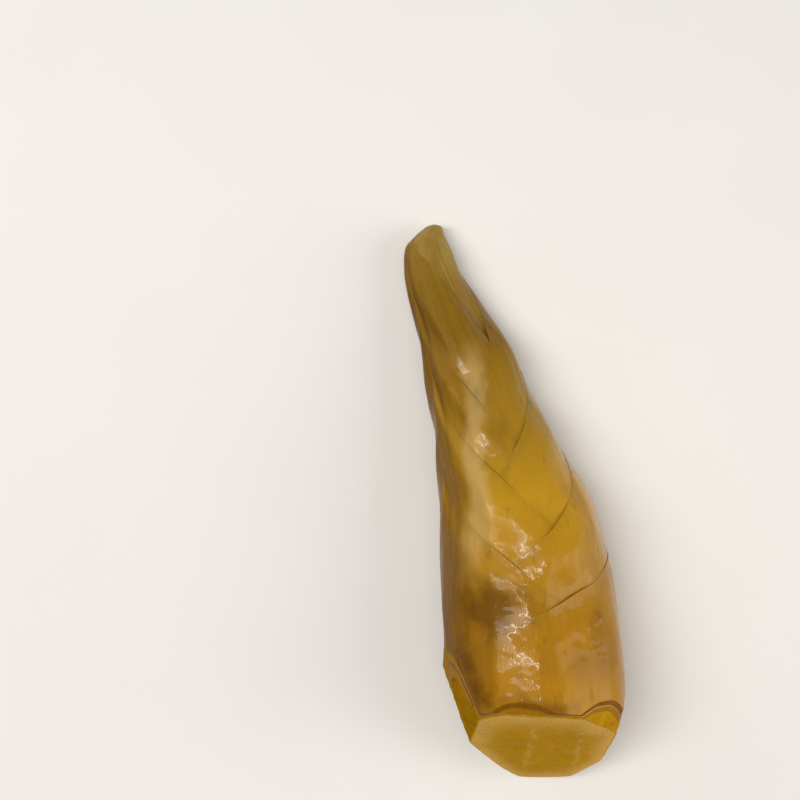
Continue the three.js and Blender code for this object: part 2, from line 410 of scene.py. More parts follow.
def from_ridge(x, z):
    """How far a point of the end face is from the ridge between two strokes, in millimetres."""
    lower, upper = np.sort(stroke_heights(x, z), axis=0)[-2:]
    return (upper - lower) / STROKES_PART


def cut_height(n, depth, degrees):
    """Where along the shoot the knife meets a layer."""
    low, high = np.full(degrees.shape, BELOW_CUT), np.full(degrees.shape, ABOVE_FLATS)
    for _ in range(HALVINGS):
        y = (low + high) / 2
        x, _, z = layer_point(n, depth, y, degrees)
        out, up = x - middle_x(y), z - middle_z(y)
        pared = pared_radius(y, np.degrees(np.arctan2(up, out))) < np.hypot(out, up)
        removed = pared | (y < end_height(x, z))
        low, high = np.where(removed, y, low), np.where(removed, high, y)
    return high


probe = cut_height(1, 0, np.array([160.0, 100.0, 130.0]))
print("the knife leaves the outer sheath above", probe.round(1), "mm at 160, 100 and 130 degrees")

# %% [markdown]
# ## Turning grids of points into meshes
# Every piece here is a grid: rows of points that run round the shoot. Blender's own cylinder is
# such a grid too, but here each point comes from the formulas above. A small helper joins the rows
# with four-sided faces, merges points that fall together, closes holes, and marks sharp the edges
# that turn by more than a set angle, so that cut edges stay crisp and the rest is shaded smooth.
# Each point also keeps a note called fibre, in millimetres: how far it is across the sheath, along
# it, and below its edge. The materials use it to run veins along the sheath instead of straight
# through space.

# %% A mesh from a grid of points
def build_mesh(name, grid, fibre, closed_rows, closed_columns, sharp=38, cut_rows=0):
    rows, columns = grid.shape[:2]
    index = np.arange(rows * columns).reshape(rows, columns)
    if closed_rows:
        index = np.vstack([index, index[:1]])
    if closed_columns:
        index = np.hstack([index, index[:, :1]])
    quads = np.stack([index[:-1, :-1], index[:-1, 1:], index[1:, 1:], index[1:, :-1]], axis=-1)
    mesh = bpy.data.meshes.new(name)
    mesh.from_pydata(grid.reshape(-1, 3).tolist(), [], quads.reshape(-1, 4).tolist())
    slot = np.zeros(quads.shape[:2], int)
    slot[len(quads) - cut_rows :] = 1
    mesh.polygons.foreach_set("material_index", slot.reshape(-1).astype(np.int32))
    notes = mesh.attributes.new("fibre", "FLOAT_VECTOR", "POINT")
    notes.data.foreach_set("vector", fibre.reshape(-1).astype(np.float32))
    work = bmesh.new()
    work.from_mesh(mesh)
    bmesh.ops.remove_doubles(work, verts=work.verts, dist=1e-6)
    bmesh.ops.dissolve_degenerate(work, edges=work.edges, dist=1e-7)
    holes = [e for e in work.edges if e.is_boundary]
    if holes:
        bmesh.ops.holes_fill(work, edges=holes)
    bmesh.ops.recalc_face_normals(work, faces=work.faces)
    work.to_mesh(mesh)
    work.free()
    mesh.polygons.foreach_set("use_smooth", [True] * len(mesh.polygons))
    mesh.set_sharp_from_angle(angle=math.radians(sharp))
    piece = bpy.data.objects.new(name, mesh)
    bpy.context.scene.collection.objects.link(piece)
    print(f"{name}: {len(mesh.polygons)} faces, {len(holes)} edges closed by a cap")
    return piece


# %% [markdown]
# ## A sheath's grid
# A sheath is a closed strip bent into a ring: up its outer face, over the thin top edge, down its
# inner face and back across the base. At the bottom it starts at its node, or at the knife where
# the knife went deeper. Where the knife reached above the notch, the ring is open, and its grid
# stops at that point. The columns crowd in round the midrib, where the small blade needs them.

# %% Where a sheath's columns of points stand
COLUMNS = 264
COLUMN_CROWDING = 1.25  # over 1, they crowd in round the midrib
LEAST_SHEATH = 0.05  # a strip lower than this is left out


def columns_of(n, sheath):
    fine = np.linspace(-180, 180, 2881)
    degrees = sheath["midrib"] + fine
    top = bladed_edge(sheath, degrees)
    bottom = np.maximum(node_height(n), cut_height(n, HUSK, degrees))
    missing = fine[top - bottom < LEAST_SHEATH]
    closed = len(missing) == 0
    left = missing[missing < 0].max(initial=-180)
    right = missing[missing > 0].min(initial=180)
    side = np.linspace(-1, 1, COLUMNS, endpoint=not closed)
    reach = np.where(side < 0, -left, right)
    turn = reach * np.sign(side) * np.abs(side) ** COLUMN_CROWDING
    return sheath["midrib"] + turn, closed


for n in (1, 8):
    degrees, closed = columns_of(n, SHEATHS[n - 1])
    print(f"sheath {n}: {degrees.min():.0f} to {degrees.max():.0f} degrees, closed: {closed}")

# %% [markdown]
# ## A sheath's thickness
# In the pot a sheath swells until it nearly touches the next one, so no dark gap shows at the cut.
# Towards its top edge it thins to the thickness of paper and clings to the next sheath, with a few
# places where the edge curls off it by a hair. The edge itself wavers a little. A Solidify
# modifier would give it one thickness everywhere, so the grid has an outer and an inner face of
# its own.

# %% The grid of one sheath
OUTER_ROWS = 76
INNER_ROWS = 14
ROW_CROWDING = 1.45  # over 1, the rows crowd in below the top edge
THICK = 1.14
PAPERY = 0.1  # how thin it is at its top edge
THINS_OVER = 13  # the stretch below the edge where it thins
CLEAR = 0.05  # the edge stays this far off the next sheath
CURL = 0.08  # and curls off it by this much more in places
VEINS_SPREAD_AT = 25  # above the node, where the distance across the veins is measured


def edge_waves(n, degrees):
    angle = np.radians(degrees)
    phase = 1.7 * n
    return 0.35 * np.sin(5 * angle + phase) + 0.22 * np.sin(11 * angle + 2 * phase)


def sheath_grid(n):
    sheath = SHEATHS[n - 1]
    degrees, closed = columns_of(n, sheath)
    vein_radius = half_width(node_height(n) + VEINS_SPREAD_AT)
    top = bladed_edge(sheath, degrees) + edge_waves(n, degrees)
    outer_start = np.minimum(np.maximum(node_height(n), cut_height(n, 0, degrees)), top)
    inner_start = np.minimum(np.maximum(node_height(n), cut_height(n, HUSK, degrees)), top)

    def face(start, shares, inside):
        y = start + (top - start) * shares[:, None]
        below = top - y
        lying = 1 - smooth(below, 0, THINS_OVER)
        curling = CURL * np.maximum(0, np.sin(3 * np.radians(degrees) + n)) * np.exp(-below / 2)
        depth = (LAYER - PAPERY - CLEAR) * lying - curling
        depth = depth + (THICK + (PAPERY - THICK) * lying) * inside
        across = np.radians(turn_from(sheath["midrib"], degrees)) * vein_radius
        note = np.stack(np.broadcast_arrays(across, y - node_height(n), below), axis=-1)
        return to_frame(*layer_point(n, depth, y, degrees)), note

    rising = 1 - (1 - np.linspace(0, 1, OUTER_ROWS)) ** ROW_CROWDING
    outer, outer_note = face(outer_start, rising, 0)
    inner, inner_note = face(inner_start, np.linspace(1, 0, INNER_ROWS), 1)
    rim = (outer[-1:] + inner[:1]) / 2
    rim[..., 1] += 0.1 * MM
    base = (outer[:1] + inner[-1:]) / 2
    grid = np.concatenate([outer, rim, inner, base])
    notes = np.concatenate([outer_note, outer_note[-1:], inner_note, inner_note[-1:]])
    return grid, notes, closed


husks = []
for n in range(1, BUD_LAYER):
    grid, notes, closed = sheath_grid(n)
    husks.append(build_mesh(f"husk_{n}", grid, notes, True, closed, cut_rows=2))

# %% [markdown]
# ## The rolled bud
# The innermost sheaths are rolled tight round the growing point and show as the tip. The bud is
# the ninth layer of the horn, closed by a small dome. Three shallow steps spiral up it, where one
# rolled sheath ends over the next. Each could be a sheet of its own, but rolled this tight only
# the steps would show.

# %% The bud
BUD_ROWS = 150
BUD_CROWDING = 0.85  # under 1, the rows crowd in towards the tip
DOME = 1.3  # the height of the rounded end
FOLDS = [  # the side of each step at the tip, its turn in degrees a millimetre, its height
    (40, 1.5, 0.5),
    (-65, 1.9, 0.45),
    (165, 1.7, 0.4),
]
BUD_RADIUS = 18  # for the distance across the veins


def bud_grid():
    degrees = np.linspace(-180, 180, COLUMNS, endpoint=False)
    start = node_height(BUD_LAYER)
    y = (start + (TIP - start) * np.linspace(0, 1, BUD_ROWS) ** BUD_CROWDING)[:, None]
    y = y + 0 * degrees
    closing = np.sqrt(np.clip(1 - ((y - (TIP - DOME)) / DOME).clip(0) ** 2, 0, 1))
    fold = 0
    for side, pitch, height in FOLDS:
        ahead = turn_from(side + pitch * (TIP - y), degrees)
        fold = fold + height * smooth(ahead, -4, 0) * (1 - smooth(ahead, 0, 70))
    fold = fold * (1 - presence(7, y, degrees)) * (1 - presence(8, y, degrees))
    x, _, z = layer_point(BUD_LAYER, fold, y, degrees)
    x = middle_x(y) + (x - middle_x(y)) * closing
    z = middle_z(y) + (z - middle_z(y)) * closing
    notes = np.stack([np.radians(degrees) * BUD_RADIUS + 0 * y, y - start, TIP - y], axis=-1)
    return to_frame(x, y, z), notes


grid, notes = bud_grid()
bud = build_mesh("bud_rolled", grid, notes, False, True)

# %% [markdown]
# ## The culm and its cut
# Under the sheaths is the culm itself. It steps in by one layer just below each node, to make room
# for the sheath that grows there. Its root end stops at the slanted end strokes, and the height
# where its side meets them is again found by halving. The blade trembled a little, which leaves
# fine waves in the pared flats.

# %% The side of the culm
STEP_BEGINS, STEP_ENDS = 1.2, 0.1  # below a node, where the culm steps in
PARED_BELOW = 60  # the knife's waves fade out over the last 10 mm below this height
ABOVE_END = 48.0  # the side meets the end strokes below this height


def culm_inset(y, degrees):
    depth = 0 * y * degrees
    for n in range(1, BUD_LAYER):
        rising = smooth(y, node_height(n) - STEP_BEGINS, node_height(n) - STEP_ENDS)
        depth = depth + LAYER * rising * presence(n, y, degrees)
    return depth


def culm_point(y, degrees):
    x, _, z = at_depth(culm_inset(y, degrees), y, degrees)
    out, up = x - middle_x(y), z - middle_z(y)
    angle = np.arctan2(up, out)
    waves = 0.09 * np.sin(0.55 * y + 3 * angle) + 0.05 * np.sin(1.7 * y - 5 * angle)
    pared = pared_radius(y, np.degrees(angle)) + waves * smooth(PARED_BELOW - y, 0, 10)
    radius = np.minimum(np.hypot(out, up), pared)
    return middle_x(y) + radius * np.cos(angle), middle_z(y) + radius * np.sin(angle)


def rim_height(degrees):
    low, high = np.full(degrees.shape, BELOW_CUT), np.full(degrees.shape, ABOVE_END)
    for _ in range(HALVINGS):
        y = (low + high) / 2
        past = y < end_height(*culm_point(y, degrees))
        low, high = np.where(past, y, low), np.where(past, high, y)
    return high


rim_probe = rim_height(np.array([90.0, -90.0]))
print("the end face's rim lies at", rim_probe.round(1), "mm, on top and underneath")

# %% [markdown]
# ## The culm in one grid
# The end face is made of rings that shrink to its middle and follow the strokes' height, and the
# side goes on from the outermost ring. The culm's fibre note holds other things than a sheath's:
# on the end face how far a point is from a ridge of the knife and how near to the rim, and on the
# side how far it is from a node.

# %% The culm
END_MIDDLE = (4.5, 27.0)  # sideways and upward place of the end face's middle
SIDE_ROWS = 180
SIDE_CROWDING = 1.5  # over 1, the rows crowd in towards the cut
END_RINGS = 44
NO_RIDGE = 99  # the note of a point that isn't on the end face
END_NOTE = 9  # added to the share of the way to the rim, to tell it from a distance
CULM_SHORTER = 0.5  # the culm ends this far below the bud's node


def culm_grid():
    degrees = np.linspace(-180, 180, COLUMNS, endpoint=False)
    start = rim_height(degrees)
    length = node_height(BUD_LAYER) - CULM_SHORTER - start
    y = start + length * np.linspace(0, 1, SIDE_ROWS)[:, None] ** SIDE_CROWDING
    x, z = culm_point(y, degrees)
    share = np.linspace(0, 1, END_RINGS, endpoint=False)[:, None]
    end_x = END_MIDDLE[0] + (x[0] - END_MIDDLE[0]) * share
    end_z = END_MIDDLE[1] + (z[0] - END_MIDDLE[1]) * share
    drag = 0.03 * np.sin(0.9 * end_z + 0.3 * end_x) + 0.015 * np.sin(2.3 * end_z - 0.5 * end_x)
    end_y = end_height(end_x, end_z) + drag * smooth(1 - share, 0, 0.15)
    notes = np.zeros((END_RINGS + SIDE_ROWS, COLUMNS, 3))
    notes[:, :, 0] = NO_RIDGE
    notes[:END_RINGS, :, 0] = from_ridge(end_x, end_z)
    notes[:, :, 1] = np.concatenate([end_y, y])
    nodes = np.array([node_height(n) for n in range(1, BUD_LAYER + 1)])
    notes[END_RINGS:, :, 2] = np.abs(y[..., None] - nodes).min(axis=-1)
    notes[:END_RINGS, :, 2] = END_NOTE + share
    points = [np.concatenate(pair) for pair in ((end_x, x), (end_y, y), (end_z, z))]
    return to_frame(*points), notes


grid, notes = culm_grid()
culm = build_mesh("culm_flesh", grid, notes, False, True, sharp=30)

# %% [markdown]
# ## Everything in its place
# Each finer piece stands in for one CAD solid and rides on the part's only body. The slot names
# its material in the CAD part, where the young upper sheaths share the tip's. The finer piece must
# fill the same space as its solid, so the cell prints how far their boxes differ.

# %% Tie the pieces to the frame
TIP_HUSK_FROM = 6  # the first of the young upper sheaths
stands_for = {"culm_flesh": ("shoot_body", "flesh"), "bud_rolled": ("tip_bud", "tip_husk")}
for n in range(1, BUD_LAYER):
    stands_for[f"husk_{n}"] = (f"sheath_{n}", "husk" if n < TIP_HUSK_FROM else "tip_husk")
for piece in husks + [bud, culm]:
    node, slot = stands_for[piece.name]
    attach(piece, "root")
    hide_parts(node)
    low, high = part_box(node)
    mine = np.array([v.co[:] for v in piece.data.vertices])
    apart = np.abs(np.concatenate([mine.min(0) - low, mine.max(0) - high])).max()
    print(f"{piece.name} stands for {node}; their boxes differ by {apart * 1000:.1f} mm at most")

# %% [markdown]
# ## Tools for materials
# Materials are graphs of nodes. A few small helpers keep them readable: they add a node and fill
# its sockets, do arithmetic, ask for noise, turn a stretch of values into a mask, and lay a colour
# over another by a mask. Colours are given as they look on a screen and turned into the linear
# light that shaders work in.

# %% Helpers for nodes
def linear_light(value):
    return ((value / 255 + 0.055) / 1.055) ** 2.4 if value > 10 else value / 3294.6


def seen(red, green, blue):
    return (linear_light(red), linear_light(green), linear_light(blue), 1.0)


def add(tree, kind, inputs=None, **settings):
    node = tree.nodes.new(kind)
    for name, value in settings.items():
        setattr(node, name, value)
    for socket, value in (inputs or {}).items():
        if isinstance(value, bpy.types.NodeSocket):
            tree.links.new(value, node.inputs[socket])
        else:
            node.inputs[socket].default_value = value
    return node


def calc(tree, operation, *values):
    node = add(tree, "ShaderNodeMath", dict(enumerate(values)), operation=operation)
    return node.outputs[0]


def between(tree, value, low, high, start=0.0, end=1.0):
    inputs = {"Value": value, "From Min": low, "From Max": high, "To Min": start, "To Max": end}
    node = add(tree, "ShaderNodeMapRange", inputs, interpolation_type="SMOOTHSTEP")
    return node.outputs[0]


def noise(tree, place, scale, detail=2.0, seed=None):
    inputs = {"Vector": place, "Scale": scale, "Detail": detail}
    if seed is None:
        return add(tree, "ShaderNodeTexNoise", inputs).outputs[0]
    inputs["W"] = seed
    return add(tree, "ShaderNodeTexNoise", inputs, noise_dimensions="4D").outputs[0]


def mix(tree, mask, first, second):
    return add(tree, "ShaderNodeMix", {0: mask, 6: first, 7: second}, data_type="RGBA").outputs[2]


def lay_over(tree, base, mask, strength, color):
    return mix(tree, calc(tree, "MULTIPLY", mask, strength), base, color)


def ramp(tree, value, stops):
    node = add(tree, "ShaderNodeValToRGB", {0: value})
    while len(node.color_ramp.elements) < len(stops):
        node.color_ramp.elements.new(0.5)
    for element, (place, colour) in zip(node.color_ramp.elements, stops):
        element.position = place
        element.color = colour
    return node.outputs[0]


print("amber in linear light:", [round(share, 3) for share in seen(166, 115, 10)[:3]])

# %% [markdown]
# ## Tools for node groups
# A finish that more than one material uses is made once, as a node group with inputs of its own.
# It could be copied into every material, but then each change would have to be made in all of
# them.

# %% Helpers for node groups
def new_group(name, inputs, outputs):
    tree = bpy.data.node_groups.new(name, "ShaderNodeTree")
    for label, value in inputs.items():
        kind = "NodeSocketVector" if isinstance(value, tuple) else "NodeSocketFloat"
        socket = tree.interface.new_socket(label, in_out="INPUT", socket_type=kind)
        socket.default_value = value
    for label, kind in outputs.items():
        tree.interface.new_socket(label, in_out="OUTPUT", socket_type=f"NodeSocket{kind}")
    return tree, tree.nodes.new("NodeGroupInput").outputs, tree.nodes.new("NodeGroupOutput")


def put_out(tree, group_output, **values):
    for label, value in values.items():
        tree.links.new(value, group_output.inputs[label])
    print(f"node group {tree.name}: {len(tree.nodes)} nodes")


def place_group(tree, group, **inputs):
    return add(tree, "ShaderNodeGroup", inputs, node_tree=group).outputs


# %% [markdown]
# ## Where a point lies on the shoot
# Many finishes change along the shoot, as its colour does from the root end to the tip. This group
# turns the object's coordinates, which are in metres from the frame's origin, back into the
# shoot's own millimetres. An unwrapped UV map could say where a point lies too, but it has seams.
# All pieces share one origin, so the finishes meet without a jump.

# %% Group: place on the shoot
place_on_shoot, given, out = new_group("place on the shoot", {}, {"Place": "Vector"})
where = add(place_on_shoot, "ShaderNodeTexCoord").outputs["Object"]
inputs = {0: where, "Scale": 1 / MM}
scaled = add(place_on_shoot, "ShaderNodeVectorMath", inputs, operation="SCALE").outputs[0]
inputs = {0: scaled, 1: -SHIFT}
moved = add(place_on_shoot, "ShaderNodeVectorMath", inputs, operation="ADD").outputs[0]
put_out(place_on_shoot, out, Place=moved)

# %% [markdown]
# ## Veins
# Bamboo husk has fine parallel veins that run from the node to the top edge. They could be
# painted, but a formula stays sharp from near and follows every sheath. They are a triangle wave
# across the sheath, rounded to narrow ridges, with a random strength for each vein. A slow noise
# makes them waver. A second noise, stretched forty times along the sheath, gives the wider pale
# and dark streaks that a boiled husk shows.

# %% Group: veins
inputs = {"Fibre": (0.0, 0.0, 0.0), "Spacing": 1.1, "Seed": 0.0}
veins, given, out = new_group("veins", inputs, {"Vein": "Float", "Streak": "Float"})
parts = add(veins, "ShaderNodeSeparateXYZ", {0: given["Fibre"]}).outputs
# A slow noise sways the veins by a few millimetres.
slow = add(veins, "ShaderNodeCombineXYZ", {0: calc(veins, "MULTIPLY", parts[0], 0.07)})
veins.links.new(calc(veins, "MULTIPLY", parts[1], 0.035), slow.inputs[1])
veins.links.new(given["Seed"], slow.inputs[2])
waver = noise(veins, slow.outputs[0], 1.0, 1.0)
swayed = calc(veins, "MULTIPLY_ADD", waver, 5.0, parts[0])
# Each vein is one crest of a triangle wave, as strong as its luck.
count = calc(veins, "DIVIDE", swayed, given["Spacing"])
wave = calc(veins, "MULTIPLY", calc(veins, "PINGPONG", count, 0.5), 2.0)
which = calc(veins, "FLOOR", count)
luck = add(veins, "ShaderNodeTexWhiteNoise", {"W": which}, noise_dimensions="1D").outputs["Value"]
strength = between(veins, luck, 0.1, 1.0, 0.25, 1.0)
ridge = calc(veins, "MULTIPLY", between(veins, wave, 0.35, 1.0), strength)
# The streaks change fast across the sheath and slowly along it.
long = add(veins, "ShaderNodeCombineXYZ", {0: calc(veins, "MULTIPLY", swayed, 0.55)})
veins.links.new(calc(veins, "MULTIPLY", parts[1], 0.014), long.inputs[1])
veins.links.new(given["Seed"], long.inputs[2])
streak = noise(veins, long.outputs[0], 1.0, 4.0)
put_out(veins, out, Vein=ridge, Streak=between(veins, streak, 0.3, 0.7))

# %% [markdown]
# ## The shaded flank
# The flank that faces left is darkened to brown with painted shade, and it keeps less of the
# clear coat. Painting it would take a mask for every piece. This mask asks only which way the
# surface faces, and it is full where that is straight to the left.

# %% Group: flank
shaded_flank, given, out = new_group("shaded_flank", {}, {"Mask": "Float"})
facing = add(shaded_flank, "ShaderNodeTexCoord").outputs["Normal"]
sideways = add(shaded_flank, "ShaderNodeSeparateXYZ", {0: facing}).outputs[0]
put_out(shaded_flank, out, Mask=between(shaded_flank, sideways, -0.3, -0.95))

# %% [markdown]
# ## The tone along the shoot
# Boiling leaves the husk darkest towards the tip, brightest amber in the middle where the sheaths
# are thick and lit through, and a duller ochre at the root end. One colour for each sheath would
# show as bands, so a colour ramp runs along the whole shoot, and a noise moves it to and fro. The
# painted shade on the left flank is mixed in here, so that every layer of husk has it at the same
# place.

# %% Group: tone
TONES = [  # the share of the way from the cut to the tip, and the colour there
    (0.00, seen(182, 134, 20)),
    (0.19, seen(166, 115, 10)),
    (0.30, seen(162, 113, 16)),
    (0.39, seen(168, 121, 24)),
    (0.50, seen(183, 138, 29)),
    (0.60, seen(163, 122, 28)),
    (0.70, seen(144, 108, 26)),
    (0.80, seen(125, 93, 21)),
    (0.90, seen(128, 98, 24)),
    (0.98, seen(158, 130, 52)),
]
inputs = {"Waver": 22.0, "Seed": 0.0, "Left_Shade": 0.78}
tone, given, out = new_group("tone along the shoot", inputs, {"Color": "Color"})
place = place_group(tone, place_on_shoot)["Place"]
clouds = noise(tone, place, 0.035, seed=given["Seed"])
height = add(tone, "ShaderNodeSeparateXYZ", {0: place}).outputs[1]
off = calc(tone, "MULTIPLY", calc(tone, "SUBTRACT", clouds, 0.5), given["Waver"])
share = calc(tone, "DIVIDE", calc(tone, "ADD", height, off), TIP)
flank_shade = place_group(tone, shaded_flank)["Mask"]
# painted shade: surfaces that face left are darkened towards a dark brown
color = lay_over(tone, ramp(tone, share, TONES), flank_shade, given["Left_Shade"], seen(84, 50, 4))
put_out(tone, out, Color=color)

# %% [markdown]
# ## Mottling
# The husk has soft brown clouds, stretched a little along the shoot. The group gives a mask from a
# noise of chosen size and a chosen level, so a material can have broad clouds, small flecks or
# both.

# %% Group: mottling
inputs = {"Size": 12.0, "Stretch": 2.5, "Level": 0.55, "Softness": 0.12, "Seed": 0.0}
mottling, given, out = new_group("mottling", inputs, {"Mask": "Float"})
place = place_group(mottling, place_on_shoot)["Place"]
parts = add(mottling, "ShaderNodeSeparateXYZ", {0: place}).outputs
narrow = calc(mottling, "DIVIDE", parts[1], given["Stretch"])
stretched = add(mottling, "ShaderNodeCombineXYZ", {0: parts[0], 1: narrow, 2: parts[2]}).outputs[0]
scale = calc(mottling, "DIVIDE", 1.0, given["Size"])
clouds = noise(mottling, stretched, scale, 3.0, given["Seed"])
low = calc(mottling, "SUBTRACT", given["Level"], given["Softness"])
high = calc(mottling, "ADD", given["Level"], given["Softness"])
put_out(mottling, out, Mask=between(mottling, clouds, low, high))

# %% [markdown]
# ## Stains
# Here and there the husk is bruised or lies thicker, and boiling turned that place brown. A stain
# is a soft ball around one point of the shoot, with a ragged outline from a noise. It is measured
# in space and not on one sheath, so it runs on over the sheath beside it.

# %% Group: stain
inputs = {"Middle": (0.0, 0.0, 0.0), "Across": 12.0, "Along": 9.0, "Seed": 0.0}
stain, given, out = new_group("stain", inputs, {"Mask": "Float"})
place = place_group(stain, place_on_shoot)["Place"]
away = add(stain, "ShaderNodeVectorMath", {0: place, 1: given["Middle"]}, operation="SUBTRACT")
parts = add(stain, "ShaderNodeSeparateXYZ", {0: away.outputs[0]}).outputs
across = calc(stain, "POWER", calc(stain, "DIVIDE", parts[0], given["Across"]), 2.0)
along = calc(stain, "POWER", calc(stain, "DIVIDE", parts[1], given["Along"]), 2.0)
deep = calc(stain, "POWER", calc(stain, "DIVIDE", parts[2], given["Across"]), 2.0)
apart = calc(stain, "SQRT", calc(stain, "ADD", calc(stain, "ADD", across, along), deep))
ragged = noise(stain, place, 0.16, 4.0)
uneven = calc(stain, "MULTIPLY_ADD", calc(stain, "SUBTRACT", ragged, 0.5), 1.3, apart)
put_out(stain, out, Mask=between(stain, uneven, 1.25, 0.25))

# %% [markdown]
# ## Painted highlight
# A pale streak is painted on the husk as a highlight, where a long soft gleam lies along the top
# of the shoot. It is a ragged band along one line of the shoot, only on the side that faces up,
# and it fades out at both ends.

# %% Group: painted highlight
inputs = {"Line": -20.0, "Reach": 4.8}
painted_highlight, given, out = new_group("painted_highlight", inputs, {"Mask": "Float"})
place = place_group(painted_highlight, place_on_shoot)["Place"]
parts = add(painted_highlight, "ShaderNodeSeparateXYZ", {0: place}).outputs
drift = noise(painted_highlight, place, 0.045, 0.0)
aside = calc(painted_highlight, "SUBTRACT", calc(painted_highlight, "MULTIPLY_ADD", drift, 5.0, parts[0]), 2.5)
apart = calc(painted_highlight, "ABSOLUTE", calc(painted_highlight, "SUBTRACT", aside, given["Line"]))
ragged = noise(painted_highlight, place, 0.16, 4.0)
uneven = calc(painted_highlight, "MULTIPLY_ADD", ragged, 1.3, calc(painted_highlight, "DIVIDE", apart, given["Reach"]))
band = between(painted_highlight, uneven, 1.8, 0.9)
lower_end, upper_end = between(painted_highlight, parts[1], 68, 90), between(painted_highlight, parts[1], 162, 140)
ends = calc(painted_highlight, "MULTIPLY", lower_end, upper_end)
upper = calc(painted_highlight, "MULTIPLY", ends, between(painted_highlight, parts[2], 23, 31))
put_out(painted_highlight, out, Mask=calc(painted_highlight, "MULTIPLY", band, upper))

# %% [markdown]
# ## The wet film
# The shoot has just come out of its cooking water, and a thin film still clings to it. Where the
# film is whole the surface is smooth and mirrors the light, and where it has drained the husk
# shows a broader gloss. A second, clear mesh could be the water, but a film this thin only changes
# how the surface shines. One noise in patches gives both, a roughness and a mask for the clear
# coat, so that they change together.

# %% Group: wet film
inputs = {"Drained": 0.42, "Wet": 0.2, "Seed": 0.0}
outputs = {"Roughness": "Float", "Coat": "Float"}
wet_film, given, out = new_group("wet film", inputs, outputs)
place = place_group(wet_film, place_on_shoot)["Place"]
patches = noise(wet_film, place, 0.09, 3.0, given["Seed"])
whole = between(wet_film, patches, 0.4, 0.6)
gain = calc(wet_film, "SUBTRACT", given["Drained"], given["Wet"])
level = calc(wet_film, "MULTIPLY", whole, gain)
grain = noise(wet_film, place, 1.4)
fine = calc(wet_film, "MULTIPLY", calc(wet_film, "SUBTRACT", grain, 0.5), 0.16)
roughness = calc(wet_film, "ADD", calc(wet_film, "SUBTRACT", given["Drained"], level), fine)
put_out(wet_film, out, Roughness=roughness, Coat=between(wet_film, patches, 0.2, 0.6))

# %% [markdown]
# ## The margin
# Near its top edge a sheath is thin as paper. It dries and browns there first, and the very rim is
# a fine pale line. The fibre note holds how far a point lies below the edge, so both are masks of
# it.

# %% Group: margin
inputs = {"Fibre": (0.0, 0.0, 0.0), "Width": 5.0}
margin, given, out = new_group("margin", inputs, {"Band": "Float", "Rim": "Float"})
parts = add(margin, "ShaderNodeSeparateXYZ", {0: given["Fibre"]}).outputs
ragged = noise(margin, given["Fibre"], 0.35, 3.0)
reach = calc(margin, "MULTIPLY", given["Width"], calc(margin, "MULTIPLY", ragged, 2.0))
band = between(margin, calc(margin, "DIVIDE", parts[2], reach), 1.0, 0.0)
put_out(margin, out, Band=band, Rim=between(margin, parts[2], 0.45, 0.1))

# %% [markdown]
# ## The ripples of the film
# Water on a waxy skin gathers in low waves and small beads, so the film breaks each gleam into
# short pieces. Only the clear coat has these ripples, and the husk under it keeps its own relief.
# Each material builds them itself, because they belong to its coat alone.

# %% Start a material, and ripple its coat
def start_material(name):
    material = bpy.data.materials.new(name)
    material.use_nodes = True
    tree = material.node_tree
    shader = tree.nodes["Principled BSDF"]
    return material, tree, shader


def ripple_coat(tree, shader):
    where = add(tree, "ShaderNodeTexCoord").outputs["Object"]
    to_millimetres = {0: where, 1: (1 / MM, 1 / MM, 1 / MM), 2: -SHIFT}
    place = add(tree, "ShaderNodeVectorMath", to_millimetres, operation="MULTIPLY_ADD").outputs[0]
    cells = add(tree, "ShaderNodeTexVoronoi", {"Vector": place, "Scale": 0.3}).outputs["Distance"]
    beads = between(tree, cells, 0.17, 0.0)
    height = calc(tree, "MULTIPLY_ADD", noise(tree, place, 0.22, 0.8), 5.0, beads)
    bump = add(tree, "ShaderNodeBump", {"Height": height, "Strength": 0.3, "Distance": 0.3 * MM})
    tree.links.new(bump.outputs[0], shader.inputs["Coat Normal"])


# %% [markdown]
# ## A boiled, wet surface
# Husk and flesh are both soft and slightly see-through: a little light passes under the surface
# and comes out warm, which plain paint can't show. The clear coat over them stands for the film of
# water, and it is mostly taken off on the left flank, where the colour carries painted shade. All
# materials end with this recipe and differ in relief, coat and gloss.

# %% Finish a material
COAT_OFF_ON_FLANK = 0.95  # how much of the clear coat is taken off on the left flank that carries painted shade
RELIEF = 0.35  # mm between the lowest and the highest place of a relief at full strength


def finish_material(tree, shader, color, film, height, strength, coat, gloss):
    ripple_coat(tree, shader)
    tree.links.new(color, shader.inputs["Base Color"])
    tree.links.new(film["Roughness"], shader.inputs["Roughness"])
    # the clear coat is weakened on the left flank, which carries painted shade
    flank_coat = calc(tree, "MULTIPLY_ADD", place_group(tree, shaded_flank)["Mask"], -COAT_OFF_ON_FLANK * coat, coat)
    tree.links.new(calc(tree, "MULTIPLY", film["Coat"], flank_coat), shader.inputs["Coat Weight"])
    inputs = {"Height": height, "Strength": strength, "Distance": RELIEF * MM}
    tree.links.new(add(tree, "ShaderNodeBump", inputs).outputs[0], shader.inputs["Normal"])
    shader.inputs["Specular IOR Level"].default_value = gloss
    shader.inputs["Specular Tint"].default_value = (1.0, 0.8, 0.45, 1.0)
    shader.inputs["IOR"].default_value = 1.42
    shader.inputs["Coat Roughness"].default_value = 0.08
    shader.inputs["Coat IOR"].default_value = 1.33  # water
    shader.inputs["Subsurface Weight"].default_value = 0.3
    shader.inputs["Subsurface Radius"].default_value = (1.0, 0.42, 0.1)  # red goes deepest
    shader.inputs["Subsurface Scale"].default_value = 1.2 * MM
